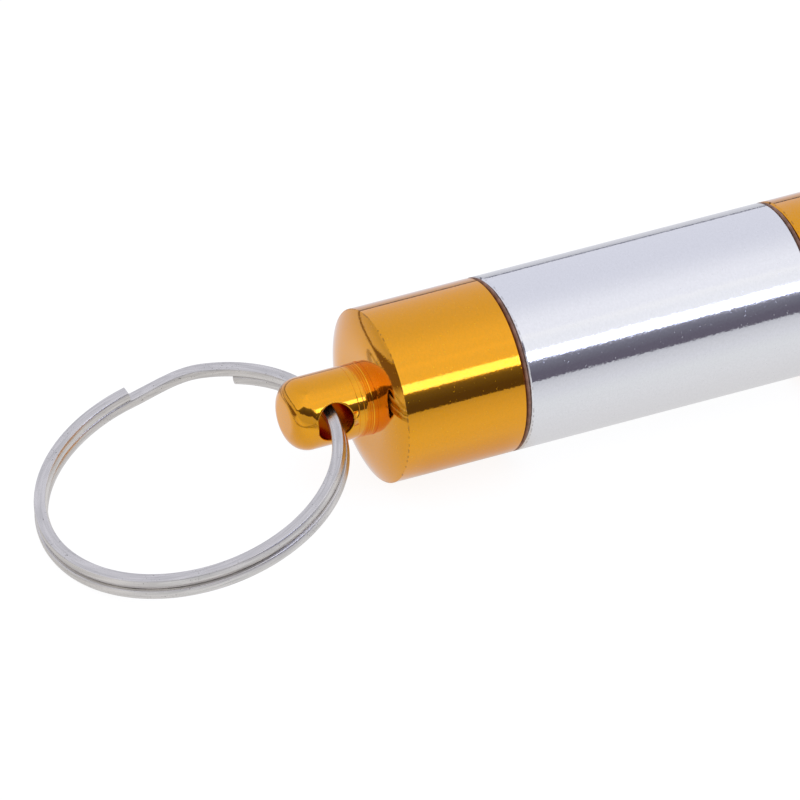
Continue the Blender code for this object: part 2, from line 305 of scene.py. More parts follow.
def neck_rings(floor):
    """From the middle of a compartment's floor up its wall and down the threaded neck."""
    top = TUBE_LENGTH + NECK_LENGTH
    wall = threaded_rings(NECK_RADIUS, NECK_RADIUS + THREAD_HEIGHT, TUBE_LENGTH - GLAND_DEPTH,
                          top - NECK_CHAMFER, TUBE_LENGTH, TUBE_LENGTH + THREAD_FOOT,
                          top - THREAD_HEAD)
    return [
        ring_of(0, floor),
        ring_of(COMPARTMENT_RADIUS, floor, True),
        ring_of(COMPARTMENT_RADIUS, top - MOUTH_CHAMFER, True),
        ring_of(COMPARTMENT_RADIUS + MOUTH_CHAMFER, top, True),
        ring_of(NECK_RADIUS - NECK_CHAMFER, top, True),
        *reversed(wall),
        ring_of(NECK_RADIUS, TUBE_LENGTH - GLAND_DEPTH, True),
        ring_of(GLAND_FLOOR_RADIUS, TUBE_LENGTH - GLAND_DEPTH, True),
        ring_of(GLAND_LIP_RADIUS, TUBE_LENGTH + TUBE_TOP_REACH, True),
        ring_of(CASE_RADIUS - EDGE_CHAMFER, TUBE_LENGTH + TUBE_TOP_REACH, True),
        ring_of(CASE_RADIUS, TUBE_LENGTH + TUBE_TOP_REACH - EDGE_CHAMFER, True),
    ]


def make_tube(node, material):
    """A tube: the last one has a flat tail, the others a socket."""
    build = bmesh.new()
    if node == "section_3":
        tail = arc(CASE_RADIUS - END_ROUND, END_ROUND, END_ROUND, 0, -90)
        turn(build, neck_rings(TAIL_FLOOR) + tail + [ring_of(0, 0)])
    else:
        turn(build, neck_rings(SOCKET_DEPTH + WEB_THICKNESS) + socket_rings())
    name = f"tube_{node[-1]}"
    return lay_on_side(build, name, [material], node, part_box(node)[1].x)


def make_seal(node, material):
    """A squeezed rubber seal: a lip that fills the gap, on a ring that fills the gland."""
    build = bmesh.new()
    half_gap = (SEAL_GAP - RIM_REACH - TUBE_TOP_REACH) / 2 - SEAL_CLEARANCE
    half_height = SEAL_GAP / 2 - SEAL_CLEARANCE + GLAND_DEPTH
    lip_middle = (TUBE_TOP_REACH - RIM_REACH) / 2
    slope_radius = GLAND_LIP_RADIUS - SEAL_CLEARANCE
    floor_radius = GLAND_FLOOR_RADIUS - SEAL_CLEARANCE
    inner_radius = NECK_RADIUS + SEAL_CLEARANCE
    lip = []
    for step in range(SEAL_SECTION_STEPS + 1):
        angle = math.pi / 2 - math.pi * step / SEAL_SECTION_STEPS
        lip.append(ring_of(slope_radius + (CASE_RADIUS - slope_radius) * math.cos(angle),
                           lip_middle + half_gap * math.sin(angle)))
    inner = [
        ring_of(floor_radius, -half_height, True),
        ring_of(inner_radius + EDGE_CHAMFER, -half_height),
        ring_of(inner_radius, EDGE_CHAMFER - half_height),
        ring_of(inner_radius, half_height - EDGE_CHAMFER),
        ring_of(inner_radius + EDGE_CHAMFER, half_height),
        ring_of(floor_radius, half_height, True),
    ]
    turn(build, lip + inner, closed=True)
    low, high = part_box(node)
    middle_x = (low.x + high.x) / 2
    return lay_on_side(build, f"rubber_{node}", [material], node, middle_x)


def tool_grooves():
    """Rings of the fine grooves that a lathe tool left beside the collar, from the top down."""
    rings = []
    for place in reversed(TOOL_GROOVE_PLACES):
        middle = CAP_LENGTH + place
        rings.append(ring_of(NUB_RADIUS, middle + TOOL_GROOVE_HALF_WIDTH, True))
        rings.append(ring_of(NUB_RADIUS - TOOL_GROOVE_DEPTH, middle, True))
        rings.append(ring_of(NUB_RADIUS, middle - TOOL_GROOVE_HALF_WIDTH, True))
    return rings


def eye_patch(build, grid, centre_column, middle_height):
    """Fill a square gap in the nub's wall with rings of faces that close in on the eye's mouth."""
    half = EYE_HALF_COLUMNS
    columns = [(centre_column + i) % SIDES for i in range(-half, half + 1)]
    loop = [grid[0][c] for c in columns]
    loop += [grid[row][columns[-1]] for row in range(1, EYE_ROWS + 1)]
    loop += [grid[EYE_ROWS][c] for c in reversed(columns[:-1])]
    loop += [grid[row][columns[0]] for row in range(EYE_ROWS - 1, 0, -1)]
    middle_angle = column_angle(centre_column)
    turned_back = Matrix.Rotation(-middle_angle, 3, "Z")
    turned_out = Matrix.Rotation(middle_angle, 3, "Z")
    mouth_radius = EYE_RADIUS + EYE_MOUTH_ROUND
    starts = []
    for point in loop:
        local = turned_back @ point.co
        across = NUB_RADIUS * math.atan2(local.y, local.x)
        starts.append((across, local.z - middle_height))

    def on_wall(across, up):
        angle = across / NUB_RADIUS
        side, front = NUB_RADIUS * math.cos(angle), NUB_RADIUS * math.sin(angle)
        return turned_out @ Vector((side, front, middle_height + up))

    def in_hole(direction, radius, depth):
        across, up = radius * math.cos(direction), radius * math.sin(direction)
        mouth_across = mouth_radius * math.cos(direction)
        wall = math.sqrt(NUB_RADIUS ** 2 - mouth_across ** 2)
        return wall - depth, across, up

    layers = [loop]
    for layer in range(1, EYE_LAYERS + 1):
        share = layer / EYE_LAYERS
        points = []
        for across, up in starts:
            direction = math.atan2(up, across)
            rim_across = NUB_RADIUS * math.asin(mouth_radius * math.cos(direction) / NUB_RADIUS)
            rim_up = mouth_radius * math.sin(direction)
            place = on_wall(across + (rim_across - across) * share, up + (rim_up - up) * share)
            points.append(build.verts.new(place))
        layers.append(points)
    for step in range(1, EYE_MOUTH_STEPS + 1):
        turn_in = math.pi / 2 * step / EYE_MOUTH_STEPS
        radius = mouth_radius - EYE_MOUTH_ROUND * math.sin(turn_in)
        depth = EYE_MOUTH_ROUND * (1 - math.cos(turn_in))
        points = []
        for across, up in starts:
            out, side, rise = in_hole(math.atan2(up, across), radius, depth)
            place = turned_out @ Vector((out, side, middle_height + rise))
            points.append(build.verts.new(place))
        layers.append(points)
    for step in range(1, EYE_TUNNEL_STEPS + 1):
        share = step / EYE_TUNNEL_STEPS
        points = []
        for across, up in starts:
            out, side, rise = in_hole(math.atan2(up, across), EYE_RADIUS, EYE_MOUTH_ROUND)
            place = turned_out @ Vector((out * (1 - share), side, middle_height + rise))
            points.append(build.verts.new(place))
        layers.append(points)
    mouth_layers = EYE_LAYERS + EYE_MOUTH_STEPS
    for layer, (outer, inner) in enumerate(zip(layers, layers[1:])):
        for i in range(len(loop)):
            after = (i + 1) % len(loop)
            face = build.faces.new((outer[i], outer[after], inner[after], inner[i]))
            face.material_index = 1 if layer >= mouth_layers else 0


def nub_wall_with_eye(build, upper, lower, high, low):
    """The nub's wall between two rings, with the eye's two mouths and the hole between them."""
    half = EYE_HALF_COLUMNS
    centres = (0, SIDES // 2)
    cut = {(centre + i) % SIDES for centre in centres for i in range(1 - half, half)}
    cut_cells = {(centre + i) % SIDES for centre in centres for i in range(-half, half)}
    grid = [lower]
    for row in range(1, EYE_ROWS):
        height = low + (high - low) * row / EYE_ROWS
        points = []
        for column in range(SIDES):
            angle = column_angle(column)
            place = (NUB_RADIUS * math.cos(angle), NUB_RADIUS * math.sin(angle), height)
            points.append(None if column in cut else build.verts.new(place))
        grid.append(points)
    grid.append(upper)
    for row in range(EYE_ROWS):
        for column in range(SIDES):
            after = (column + 1) % SIDES
            if column not in cut_cells:
                build.faces.new((grid[row + 1][column], grid[row][column],
                                 grid[row][after], grid[row + 1][after]))
    for centre in centres:
        eye_patch(build, grid, centre, EYE_HEIGHT)


def make_cap(gold, drilled):
    """The screw cap: nub with its eye, relief, end face, round shoulder, side and socket."""
    build = bmesh.new()
    top = CAP_LENGTH + NUB_LENGTH
    relief_top = CAP_LENGTH + NUB_RELIEF_LENGTH
    wall_top = top - NUB_TIP_ROUND
    wall_foot = EYE_HEIGHT - (wall_top - EYE_HEIGHT)
    tip = [ring_of(0, top)]
    tip += arc(NUB_RADIUS - NUB_TIP_ROUND, wall_top, NUB_TIP_ROUND, 90, 0)
    _, upper = turn(build, tip)
    relief_radius = NUB_RADIUS - NUB_RELIEF_DEPTH
    ridge_radius = NUB_RADIUS + NUB_RIDGE_PROUD
    foot = [ring_of(NUB_RADIUS, wall_foot)] + tool_grooves()
    foot += [
        ring_of(NUB_RADIUS, relief_top + NUB_RIDGE_WIDTH, True),
        ring_of(ridge_radius, relief_top + NUB_RIDGE_WIDTH / 3),
        ring_of(ridge_radius, relief_top, True),
        ring_of(relief_radius, relief_top, True),
        ring_of(relief_radius, CAP_LENGTH, True),
    ]
    shoulder = arc(SHOULDER_RADIUS, CAP_LENGTH - SHOULDER_ROUND, SHOULDER_ROUND,
                   90, 90 - SHOULDER_TURN_DEG)
    side = socket_rings()
    turn_edge = ring_of(CASE_RADIUS, shoulder[-1][1], True)
    lower, _ = turn(build, foot + shoulder[:-1] + [turn_edge] + side)
    nub_wall_with_eye(build, upper, lower, wall_top, wall_foot)
    base_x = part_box("cap")[1].x
    return lay_on_side(build, "screw_cap", [gold, drilled], "cap", base_x)


def wire_level(angle_deg):
    """How far up between the two turns the ring's wire is, from 0 to 1."""
    share = (RING_CRANK_FOOT_DEG - angle_deg) / (RING_CRANK_FOOT_DEG - RING_CRANK_HEAD_DEG)
    share = max(0.0, min(1.0, share))
    return share * share * (3 - 2 * share)


def wire_section():
    """Section of the flat wire, as (outwards, upwards): bulged sides and small round edges."""
    half_height = RING_WIRE_THICKNESS / 2
    side_radius = (half_height ** 2 + RING_SIDE_BULGE ** 2) / (2 * RING_SIDE_BULGE)
    side_middle = RING_WIRE_WIDTH / 2 - side_radius
    edge_up = half_height - RING_EDGE_ROUND
    edge_angle = math.asin(edge_up / (side_radius - RING_EDGE_ROUND))
    edge_out = side_middle + (side_radius - RING_EDGE_ROUND) * math.cos(edge_angle)
    quarter = []
    for step in range(RING_SIDE_STEPS):
        angle = edge_angle * step / RING_SIDE_STEPS
        quarter.append((side_middle + side_radius * math.cos(angle), side_radius * math.sin(angle)))
    for step in range(RING_EDGE_STEPS + 1):
        angle = edge_angle + (math.pi / 2 - edge_angle) * step / RING_EDGE_STEPS
        quarter.append((edge_out + RING_EDGE_ROUND * math.cos(angle),
                        edge_up + RING_EDGE_ROUND * math.sin(angle)))
    upper = quarter + [(-out, up) for out, up in reversed(quarter)]
    return upper + [(out, -up) for out, up in reversed(upper[1:-1])]


def make_split_ring(material):
    """The split ring: one flat wire wound almost twice, cranked up from its low turn."""
    build = bmesh.new()
    sweep = RING_LOWER_END_DEG - RING_UPPER_END_DEG
    steps = round(sweep / 360 * RING_STEPS_PER_TURN)
    middle_radius = RING_OUTER_RADIUS - RING_WIRE_WIDTH / 2
    section = wire_section()
    loops = []
    for step in range(steps + 1):
        degrees = RING_LOWER_END_DEG - sweep * step / steps
        angle = math.radians(degrees)
        level = wire_level(degrees)
        outwards = Vector((math.cos(angle), math.sin(angle), 0))
        radius = middle_radius + RING_LOWER_SPREAD * (1 - level)
        middle = outwards * radius + RING_LOWER_SHIFT * (1 - level)
        middle.z += RING_TURN_RISE * (level - 1 / 2)
        loops.append([build.verts.new(middle + outwards * out + Vector((0, 0, up)))
                      for out, up in section])
    count = len(section)
    for first, second in zip(loops, loops[1:]):
        for i in range(count):
            after = (i + 1) % count
            build.faces.new((first[i], first[after], second[after], second[i]))
    build.faces.new(reversed(loops[0]))
    build.faces.new(loops[-1])
    for end in (loops[0], loops[-1]):
        mark_sharp(end)
    bmesh.ops.recalc_face_normals(build, faces=build.faces)
    location = EYE_PLACE + RING_CENTRE_FROM_EYE
    rotation = (math.radians(RING_TWIST_DEG), -math.radians(RING_LEAN_DEG), 0)
    return finish_piece(build, "flat_wire_ring", [material], "split_ring",
                        location, rotation)


# Turned metal: its marks are so many to the metre along the profile, and so many round it
LATHE_LINES = (9000.0, 1200.0)
LATHE_LINE_HEIGHT = 0.0000003
RAGGED_GRAIN = (5500.0, 4000.0)
SLOW_WAVES = (500.0, 500.0)
POLISH_ROUGHNESS = 0.06
POLISH_SPREAD = (0.8, 1.25)
DULL_SHARE = 0.96
NOISE_SPREAD = (0.3, 0.7)

# Scuffs of use and worn edges
SCUFFS_PER_METRE = 4500.0
SCUFF_SPREAD = (0.69, 0.75)
SCUFF_ROUGHNESS = 0.3
WEAR_HALF_WIDTH = 0.00007
WEAR_PER_METRE = 2500.0
WEAR_SPREAD = (0.5, 0.58)
WEAR_SHARE = 0.7
WEAR_ROUGHNESS = 0.4
TUBE_EDGES = (0.0, TUBE_LENGTH)

# Colours and finishes; heights of grain and waves are in metres
GOLD = (0.89, 0.378, 0.003)
GOLD_WORN = (0.25, 0.09, 0.01)
GOLD_EDGE_TINT = (1.0, 0.85, 0.75)
GOLD_GRAIN = 0.0000032
GOLD_WAVE = 0.000003
GOLD_COAT_ROUGHNESS = 0.03
GOLD_COAT_IOR = 1.35
# The cross hole's wall: its colour is painted shade, darker than the gold at the mouth and darker
# still towards the nub's middle
DRILLED_MOUTH_PAINTED_SHADE = (0.7, 0.28, 0.01)
DRILLED_DEEP_PAINTED_SHADE = (0.3, 0.07, 0.008)
DRILLED_EDGE_TINT = (0.8, 0.3, 0.1)
DRILLED_PAINTED_SHADE_DEEPENS = (0.95, 0.55)
DRILLED_ROUGHNESS = (0.15, 0.3)
DRILL_SCORES_PER_METRE = 4000.0
DRILL_SCORE_HEIGHT = 0.00001
SILVER = (0.85, 0.85, 0.85)
SILVER_WORN = (0.4, 0.39, 0.38)
SILVER_GRAIN = 0.000005
SILVER_WAVE = 0.000004
SILVER_METALLIC = 0.93
RUBBER_DARK = (0.2, 0.095, 0.055)
RUBBER_PALE = (0.36, 0.19, 0.12)
RUBBER_ROUGHNESS = 0.5
RUBBER_PATCHES_PER_METRE = 1500.0
RUBBER_PATCH_HEIGHT = 0.00001
STEEL_DARK = (0.6, 0.58, 0.55)
STEEL_PALE = (0.76, 0.73, 0.69)
STEEL_PIT = (0.12, 0.11, 0.1)
STEEL_ROUGHNESS = (0.34, 0.24)
STEEL_LINES = (6000.0, 4.0)
STEEL_LINE_HEIGHT = 0.0000025
STEEL_PATCHES_PER_METRE = 700.0
STEEL_PATCH_SPREAD = (0.4, 0.65)
STEEL_GRAINS_PER_METRE = 9000.0
STEEL_GRAIN_HEIGHT = 0.0000012
STEEL_PITTED_FROM = (0.72, 0.62)
STEEL_PIT_STEEPNESS = 10.0
BLEND_SPREAD = (0.35, 0.65)


class Nodes:
    """Short calls that add nodes to a material's or the world's node tree."""

    def __init__(self, tree):
        self.tree = tree

    def add(self, kind, inputs=(), **settings):
        """Add a node, set its options, and link or set its inputs."""
        node = self.tree.nodes.new(kind)
        for key, value in settings.items():
            setattr(node, key, value)
        for key, value in dict(inputs).items():
            if isinstance(value, bpy.types.NodeSocket):
                self.tree.links.new(value, node.inputs[key])
            else:
                node.inputs[key].default_value = value
        return node

    def math(self, operation, *values, clamp=False):
        """A sum of sockets and numbers."""
        node = self.add("ShaderNodeMath", enumerate(values), operation=operation, use_clamp=clamp)
        return node.outputs[0]

    def noise(self, vector, scale, detail=2.0, roughness=0.5):
        """Noise from 0 to 1."""
        inputs = {"Vector": vector, "Scale": scale, "Detail": detail, "Roughness": roughness}
        return self.add("ShaderNodeTexNoise", inputs).outputs["Fac"]

    def remap(self, value, from_low, from_high, to_low, to_high, smooth=False):
        """Map a value from one range to another, clamped."""
        inputs = {"Value": value, "From Min": from_low, "From Max": from_high,
                  "To Min": to_low, "To Max": to_high}
        kind = "SMOOTHSTEP" if smooth else "LINEAR"
        return self.add("ShaderNodeMapRange", inputs, interpolation_type=kind).outputs["Result"]

    def mix_colour(self, share, first, second):
        """Blend two colours."""
        node = self.add("ShaderNodeMix", data_type="RGBA")
        for index, value in ((0, share), (6, first), (7, second)):
            if isinstance(value, bpy.types.NodeSocket):
                self.tree.links.new(value, node.inputs[index])
            else:
                node.inputs[index].default_value = value
        return node.outputs[2]

    def by_ray(self, mirrored, seen):
        """One shader for what the camera sees, and another for what the metal mirrors."""
        camera_ray = self.add("ShaderNodeLightPath").outputs["Is Camera Ray"]
        inputs = {0: camera_ray, 1: mirrored, 2: seen}
        return self.add("ShaderNodeMixShader", inputs).outputs[0]

    def bump(self, height, distance, normal=None):
        """Bend the normal by a height that is given in metres by its distance."""
        inputs = {"Height": height, "Distance": distance, "Strength": 1.0}
        if normal is not None:
            inputs["Normal"] = normal
        return self.add("ShaderNodeBump", inputs).outputs["Normal"]


def new_material(name):
    """A material with a Principled shader, and the short calls for its tree."""
    material = bpy.data.materials.new(name)
    material.use_nodes = True
    return material, Nodes(material.node_tree), material.node_tree.nodes["Principled BSDF"]


def colour(shade):
    """A colour with full cover."""
    return (*shade, 1.0)


def distance_from_axis(nodes, parts):
    """Distance from the local Z axis, from the parts of a place."""
    squares = [nodes.math("POWER", parts[axis], 2.0) for axis in range(2)]
    return nodes.math("SQRT", nodes.math("ADD", *squares))


def turned_coordinates(nodes, along, across):
    """Coordinates for a turned surface: so many to the metre along its profile, and round it."""
    place = nodes.add("ShaderNodeTexCoord").outputs["Object"]
    parts = nodes.add("ShaderNodeSeparateXYZ", {0: place}).outputs
    radius = distance_from_axis(nodes, parts)
    profile = nodes.math("MULTIPLY", nodes.math("SUBTRACT", parts[2], radius), along)
    side = nodes.math("MULTIPLY", parts[0], across)
    front = nodes.math("MULTIPLY", parts[1], across)
    return nodes.add("ShaderNodeCombineXYZ", {0: profile, 1: side, 2: front}).outputs[0]


def edge_wear(nodes, place, edges):
    """How worn a turned piece is: short dashes along its edges at the given heights."""
    height = nodes.add("ShaderNodeSeparateXYZ", {0: place}).outputs[2]
    near = 0.0
    for edge in edges:
        away = nodes.math("ABSOLUTE", nodes.math("SUBTRACT", height, edge))
        near = nodes.math("MAXIMUM", near, nodes.remap(away, 0.0, WEAR_HALF_WIDTH, 1.0, 0.0))
    dashes = nodes.remap(nodes.noise(place, WEAR_PER_METRE), *WEAR_SPREAD, 0.0, WEAR_SHARE)
    return nodes.math("MULTIPLY", near, dashes)


def turned_metal(name, base, worn_base, edges, grain, wave):
    """Turned and polished aluminium: fine lines, ragged grain, slow waves, scuffs, worn edges."""
    material, nodes, shader = new_material(name)
    lines = nodes.noise(turned_coordinates(nodes, *LATHE_LINES), 1.0, 3.0)
    grains = nodes.noise(turned_coordinates(nodes, *RAGGED_GRAIN), 1.0)
    waves = nodes.noise(turned_coordinates(nodes, *SLOW_WAVES), 1.0, 1.0)
    normal = nodes.bump(waves, wave)
    normal = nodes.bump(grains, grain, normal)
    normal = nodes.bump(lines, LATHE_LINE_HEIGHT, normal)
    nodes.tree.links.new(normal, shader.inputs["Normal"])
    place = nodes.add("ShaderNodeTexCoord").outputs["Object"]
    scuffed = nodes.noise(place, SCUFFS_PER_METRE)
    scuffs = nodes.remap(scuffed, *SCUFF_SPREAD, 0.0, SCUFF_ROUGHNESS)
    worn = edge_wear(nodes, place, edges)
    least, most = [POLISH_ROUGHNESS * share for share in POLISH_SPREAD]
    rough = nodes.math("ADD", nodes.remap(lines, *NOISE_SPREAD, least, most), scuffs)
    rough = nodes.math("MAXIMUM", rough, nodes.math("MULTIPLY", worn, WEAR_ROUGHNESS))
    nodes.tree.links.new(rough, shader.inputs["Roughness"])
    tone = nodes.remap(grains, *NOISE_SPREAD, 0.0, 1.0)
    dull = [channel * DULL_SHARE for channel in base]
    blend = nodes.mix_colour(tone, colour(dull), colour(base))
    blend = nodes.mix_colour(worn, blend, colour(worn_base))
    nodes.tree.links.new(blend, shader.inputs["Base Color"])
    shader.inputs["Metallic"].default_value = 1.0
    return material, shader


def gold_anodised(name, edges):
    """Gold anodised aluminium under its thin clear oxide layer."""
    material, shader = turned_metal(name, GOLD, GOLD_WORN, edges, GOLD_GRAIN, GOLD_WAVE)
    shader.inputs["Specular Tint"].default_value = colour(GOLD_EDGE_TINT)
    shader.inputs["Coat Weight"].default_value = 1.0
    shader.inputs["Coat Roughness"].default_value = GOLD_COAT_ROUGHNESS
    shader.inputs["Coat IOR"].default_value = GOLD_COAT_IOR
    return material


def gold_drilled_painted_shade():
    """The wall of the cross hole: rough from the drill, with painted shade that darkens its colour
    towards its middle.
    """
    material, nodes, shader = new_material("gold_drilled_painted_shade")
    place = nodes.add("ShaderNodeTexCoord").outputs["Object"]
    parts = nodes.add("ShaderNodeSeparateXYZ", {0: place}).outputs
    outwards = nodes.math("DIVIDE", distance_from_axis(nodes, parts), NUB_RADIUS)
    scores = nodes.noise(place, DRILL_SCORES_PER_METRE, 3.0)
    # Painted shade: the colour darkens from the mouth towards the middle of the hole
    deep = nodes.remap(outwards, *DRILLED_PAINTED_SHADE_DEEPENS, 0.0, 1.0, True)
    blend = nodes.mix_colour(deep, colour(DRILLED_MOUTH_PAINTED_SHADE), colour(DRILLED_DEEP_PAINTED_SHADE))
    rough = nodes.remap(scores, *NOISE_SPREAD, *DRILLED_ROUGHNESS)
    nodes.tree.links.new(blend, shader.inputs["Base Color"])
    nodes.tree.links.new(nodes.bump(scores, DRILL_SCORE_HEIGHT), shader.inputs["Normal"])
    nodes.tree.links.new(rough, shader.inputs["Roughness"])
    shader.inputs["Metallic"].default_value = 1.0
    shader.inputs["Specular Tint"].default_value = colour(DRILLED_EDGE_TINT)
    return material


def silver_polished():
    """Bare polished aluminium with a slight haze of fine scratches."""
    material, shader = turned_metal("silver_polished", SILVER, SILVER_WORN, TUBE_EDGES,
                                    SILVER_GRAIN, SILVER_WAVE)
    shader.inputs["Metallic"].default_value = SILVER_METALLIC
    return material


def rubber():
    """Dark brown rubber."""
    material, nodes, shader = new_material("seal_rubber")
    place = nodes.add("ShaderNodeTexCoord").outputs["Object"]
    patches = nodes.noise(place, RUBBER_PATCHES_PER_METRE, 3.0)
    tone = nodes.remap(patches, *BLEND_SPREAD, 0.0, 1.0)
    blend = nodes.mix_colour(tone, colour(RUBBER_DARK), colour(RUBBER_PALE))
    nodes.tree.links.new(blend, shader.inputs["Base Color"])
    nodes.tree.links.new(nodes.bump(patches, RUBBER_PATCH_HEIGHT), shader.inputs["Normal"])
    shader.inputs["Roughness"].default_value = RUBBER_ROUGHNESS
    return material


def wound_coordinates(nodes, across, along):
    """Coordinates for the ring's wire: so many to the metre across it, and so many to a radian."""
    place = nodes.add("ShaderNodeTexCoord").outputs["Object"]
    parts = nodes.add("ShaderNodeSeparateXYZ", {0: place}).outputs
    radius = distance_from_axis(nodes, parts)
    along_x = nodes.math("MULTIPLY", nodes.math("DIVIDE", parts[0], radius), along)
    along_y = nodes.math("MULTIPLY", nodes.math("DIVIDE", parts[1], radius), along)
    outwards = nodes.math("ADD", nodes.math("MULTIPLY", radius, across), along_x)
    upwards = nodes.math("ADD", nodes.math("MULTIPLY", parts[2], across), along_y)
    return nodes.add("ShaderNodeCombineXYZ", {0: outwards, 1: upwards, 2: along_x}).outputs[0]


def ring_steel():
    """Nickel-plated spring steel: lines from drawing along the wire, and sparse dark pits."""
    material, nodes, shader = new_material("ring_steel")
    place = nodes.add("ShaderNodeTexCoord").outputs["Object"]
    drawn = nodes.noise(wound_coordinates(nodes, *STEEL_LINES), 1.0, 3.0)
    patches = nodes.noise(place, STEEL_PATCHES_PER_METRE)
    grains = nodes.noise(place, STEEL_GRAINS_PER_METRE)
    tone = nodes.remap(drawn, *BLEND_SPREAD, 0.0, 1.0)
    blend = nodes.mix_colour(tone, colour(STEEL_DARK), colour(STEEL_PALE))
    pitted = nodes.remap(patches, *STEEL_PATCH_SPREAD, *STEEL_PITTED_FROM)
    over = nodes.math("SUBTRACT", grains, pitted)
    deep = nodes.math("MULTIPLY", over, STEEL_PIT_STEEPNESS, clamp=True)
    blend = nodes.mix_colour(deep, blend, colour(STEEL_PIT))
    nodes.tree.links.new(blend, shader.inputs["Base Color"])
    normal = nodes.bump(drawn, STEEL_LINE_HEIGHT)
    normal = nodes.bump(grains, STEEL_GRAIN_HEIGHT, normal)
    nodes.tree.links.new(normal, shader.inputs["Normal"])
    rough = nodes.remap(drawn, *NOISE_SPREAD, *STEEL_ROUGHNESS)
    nodes.tree.links.new(rough, shader.inputs["Roughness"])
    shader.inputs["Metallic"].default_value = 1.0
    return material


def make_camera():
    """The camera, placed so that the tail of the case falls on its pixel."""
    elevation = math.radians(CAMERA_ELEVATION_DEG)
    azimuth = math.radians(CAMERA_AZIMUTH_DEG)
    level = math.cos(elevation)
    back = Vector((math.sin(azimuth) * level, -math.cos(azimuth) * level, math.sin(elevation)))
    right = Vector((math.cos(azimuth), math.sin(azimuth), 0))
    up = back.cross(right)
    tail = Vector((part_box("section_3")[1].x, 0, CASE_RADIUS))
    to_right = (TAIL_PIXEL[0] - FRAME_PIXELS / 2) / PIXELS_PER_METRE
    to_up = (FRAME_PIXELS / 2 - TAIL_PIXEL[1]) / PIXELS_PER_METRE
    data = bpy.data.cameras.new("camera")
    data.sensor_width = SENSOR_WIDTH_MM
    data.lens = SENSOR_WIDTH_MM * PIXELS_PER_METRE * CAMERA_DISTANCE / FRAME_PIXELS
    camera = bpy.data.objects.new("camera", data)
    bpy.context.scene.collection.objects.link(camera)
    camera.location = tail + back * CAMERA_DISTANCE - right * to_right - up * to_up
    camera.rotation_mode = "QUATERNION"
    camera.rotation_quaternion = Matrix((right, up, back)).transposed().to_quaternion()
    bpy.context.scene.camera = camera


# The studio as the metal mirrors it: degrees above the horizon, then red, green and blue.
# The front has a dark gap, a bright strip and a pale tent; the back is a plain pale wall.
FRONT_BANDS = (
    (-1.0, (0.6, 0.61, 0.67)),
    (0.0, (0.095, 0.08, 0.12)),
    (9.0, (0.1, 0.087, 0.13)),
    (15.0, (0.13, 0.125, 0.17)),
    (20.5, (0.17, 0.168, 0.225)),
    (23.6, (0.27, 0.27, 0.34)),
    (25.0, (1.0, 1.0, 1.1)),
    (36.6, (1.02, 1.03, 1.1)),
    (45.0, (0.98, 0.995, 1.07)),
    (58.0, (1.03, 1.035, 1.09)),
    (69.0, (0.97, 0.98, 1.07)),
)
BACK_BANDS = (
    (-1.0, (0.76, 0.75, 0.77)),
    (0.0, (0.12, 0.12, 0.165)),
    (20.5, (0.2, 0.21, 0.28)),
    (24.2, (0.77, 0.775, 0.88)),
    (69.0, (0.77, 0.785, 0.9)),
)
STUDIO_LOW_DEG = -10.0
STUDIO_HIGH_DEG = 90.0
STUDIO_BRIGHTEST = 5.0

# The dark gap: its middle in degrees, and how it narrows from the front round to the back
GAP_MIDDLE_DEG = 12.0
GAP_BACK_MIDDLE_DEG = 1.5
GAP_BACK = -0.95
GAP_SIDE = -0.3
GAP_NARROW_SHARE = 0.14
GAP_NARROW_FROM = 0.45
GAP_FULL_FROM = 0.85
BLEND_BACK = -0.8
BLEND_FRONT = 0.6

# Round to the left the gap is wide for longer and rises: the camera and its holder stand there
LEFT_NONE = 0.3
LEFT_FULL = -0.1
LEFT_REACH = 0.35
LEFT_RISE_DEG = 20.0
LEFT_RISE_FRONT = (0.0, 0.6)

# The bright strip over the gap, in degrees
STRIP_COLOUR = (2.3, 2.6, 4.2)
STRIP_LOW_DEG = (24.8, 25.6)
STRIP_HIGH_DEG = (34.8, 36.0)
STRIP_NONE_TO = 0.5
STRIP_FULL_FROM = 0.78
STRIP_SIDE = (0.15, 0.34)

# The floor: how bright it is to the camera
WHITE = (1.0, 1.0, 1.0)
FLOOR_COLOUR = (0.9, 0.9, 0.9)
FLOOR_SEEN_GLOW = 0.9
FLOOR_SHADED_SHARE = 0.2

# The floor as the metal mirrors it: millimetres out from the case's axis, then red, green and blue
FLOOR_GLOWS = (
    (4.0, (0.735, 0.73, 0.745)),
    (7.5, (0.785, 0.78, 0.805)),
    (12.0, (0.815, 0.82, 0.855)),
    (18.0, (0.82, 0.835, 0.872)),
    (31.0, (0.76, 0.769, 0.834)),
    (50.0, (0.71, 0.717, 0.776)),
    (144.0, (0.627, 0.633, 0.696)),
    (400.0, (0.58, 0.59, 0.65)),
)
FLOOR_FARTHEST = 400.0

# The pale sheet ends to the left of the ring: what lies beyond it is dark, in millimetres
SHEET_END_X = -66.0
SHEET_END_SOFT = 3.0
BEYOND_STRIP_WIDTH = 9.0
BEYOND_FRONT_Y = (3.0, 12.0)
BEYOND_BACK_Y = 42.0
BEYOND_BACK_SLOPE = -0.3
BEYOND_COLOUR = (0.2, 0.15, 0.14)

# Beside the gold cap the floor is tinted by it, in millimetres
TINT_X = (-17.0, -20.0)
TINT_X_END = (-27.0, -30.0)
TINT_Y = (10.0, 3.0)
TINT_COLOUR = (0.64, 0.55, 0.47)


def studio_share(shade):
    """A studio colour as a share of the brightest, which the background's strength makes up."""
    return colour([channel / STUDIO_BRIGHTEST for channel in shade])


def band_ramp(nodes, place, bands):
    """A colour ramp over the height above the horizon, from a table of bands."""
    ramp = nodes.add("ShaderNodeValToRGB", {0: place})
    stops = ramp.color_ramp.elements
    for index, (degrees, shade) in enumerate(bands):
        position = (degrees - STUDIO_LOW_DEG) / (STUDIO_HIGH_DEG - STUDIO_LOW_DEG)
        stop = stops[index] if index < 2 else stops.new(position)
        stop.position = position
        stop.color = studio_share(shade)
    return ramp.outputs[0]


